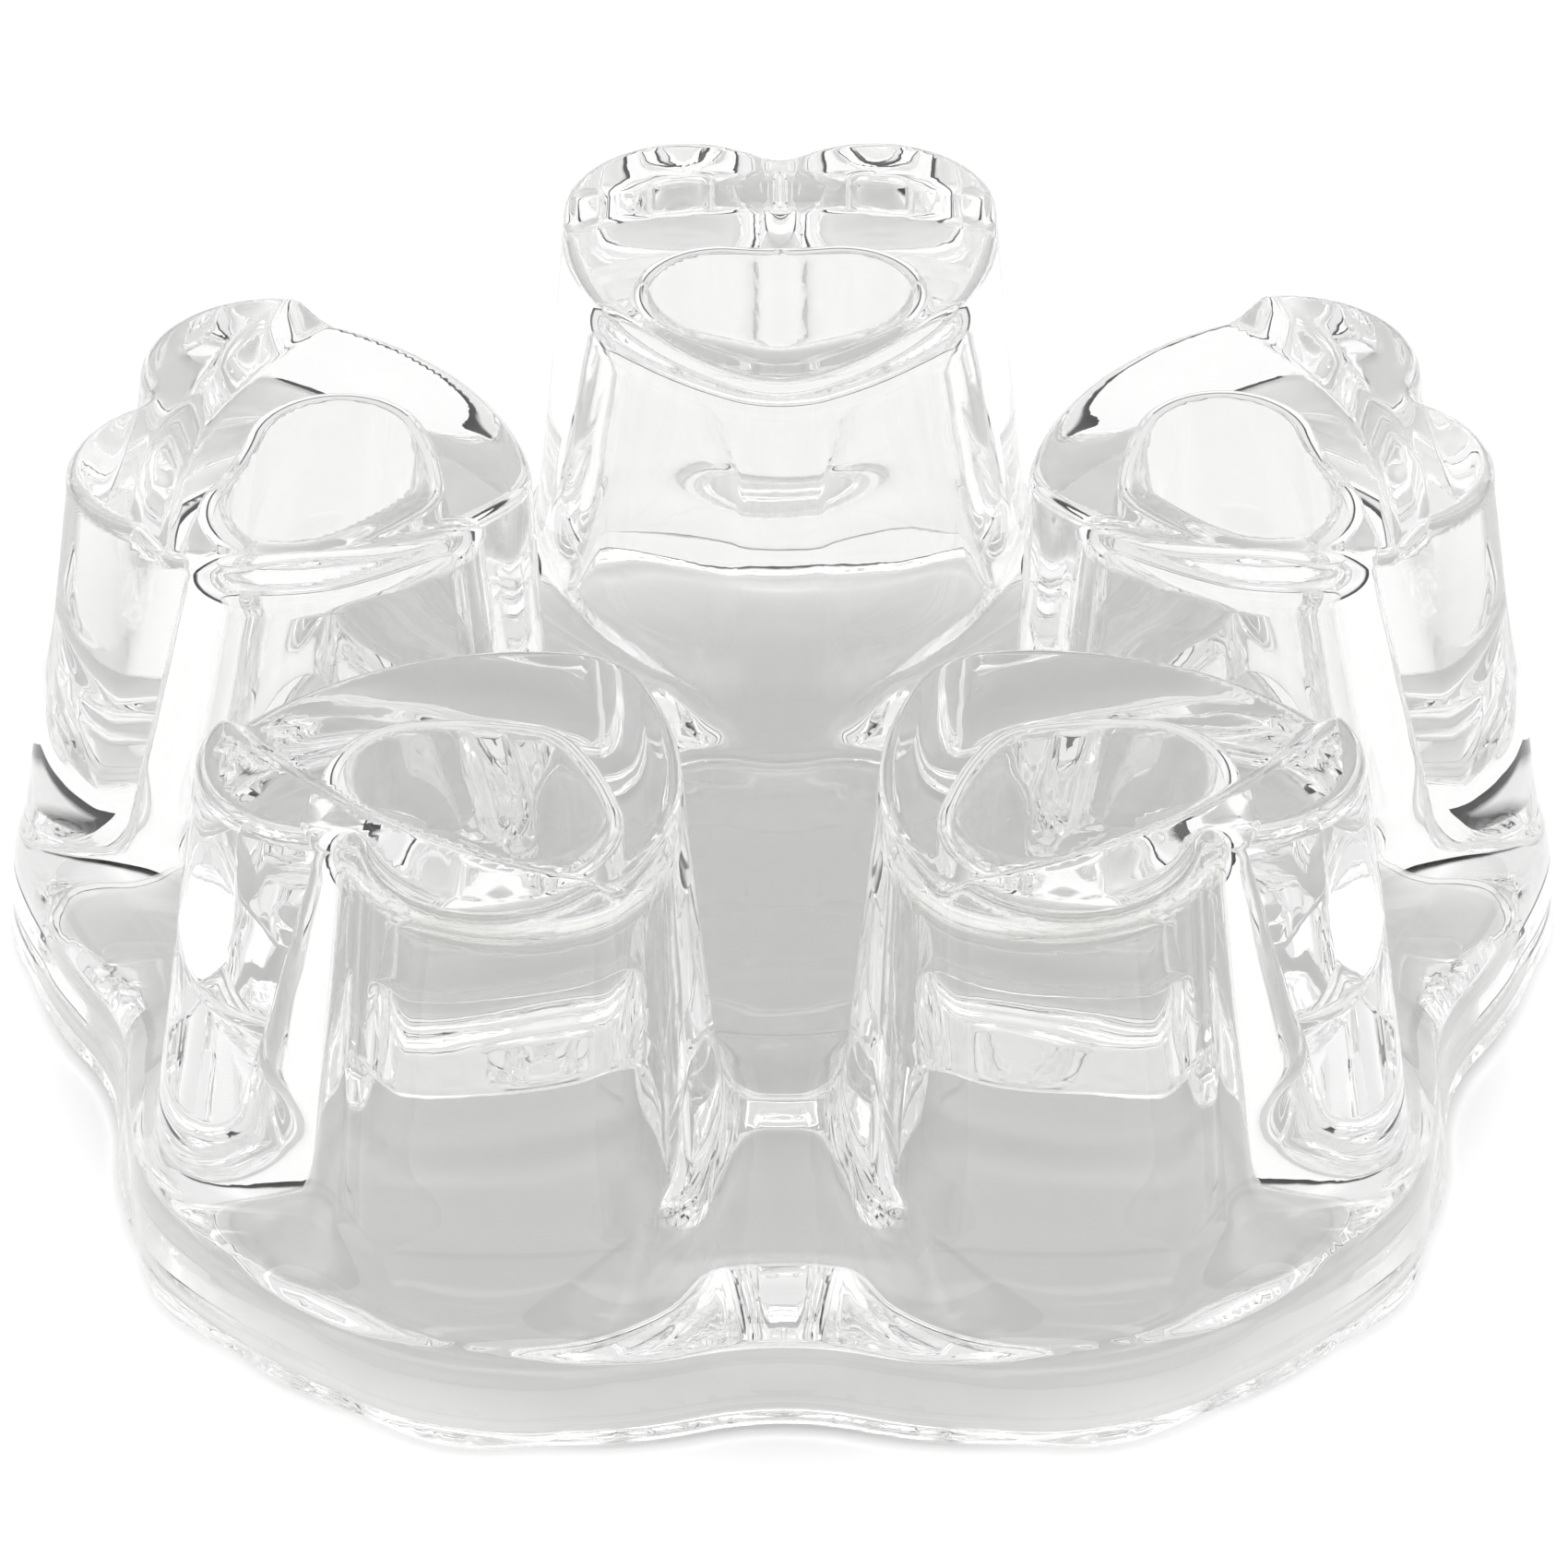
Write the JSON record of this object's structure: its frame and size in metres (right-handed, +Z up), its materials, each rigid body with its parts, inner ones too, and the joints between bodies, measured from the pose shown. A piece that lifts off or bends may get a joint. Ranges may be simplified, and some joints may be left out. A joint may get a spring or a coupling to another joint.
{
  "type": "teapot warmer",
  "caption": "Clear pressed-glass tealight warmer: a scalloped foot with a round candle well and a ring of hollow heart-shaped pillars with stepped tops that carry a pot.",
  "frame": {"origin": "centre of the foot, in the plane it stands on", "axes": "+Z up along the five-fold axis, from the table to the pot; +Y towards the pillar at the back; +X to its right as seen from the front"},
  "size_m": [0.1288, 0.1245, 0.0465],
  "materials": {
    "clear_glass": "clear pressed glass, fire-polished and glossy"
  },
  "bodies": {
    "root": {"scalloped_foot": "clear_glass", "candle_well": "clear_glass", "heart_pillar_back": "clear_glass", "pot_rest_back": "clear_glass", "heart_pillar_left_back": "clear_glass", "pot_rest_left_back": "clear_glass", "heart_pillar_left_front": "clear_glass", "pot_rest_left_front": "clear_glass", "heart_pillar_right_front": "clear_glass", "pot_rest_right_front": "clear_glass", "heart_pillar_right_back": "clear_glass", "pot_rest_right_back": "clear_glass"}
  },
  "joints": []
}
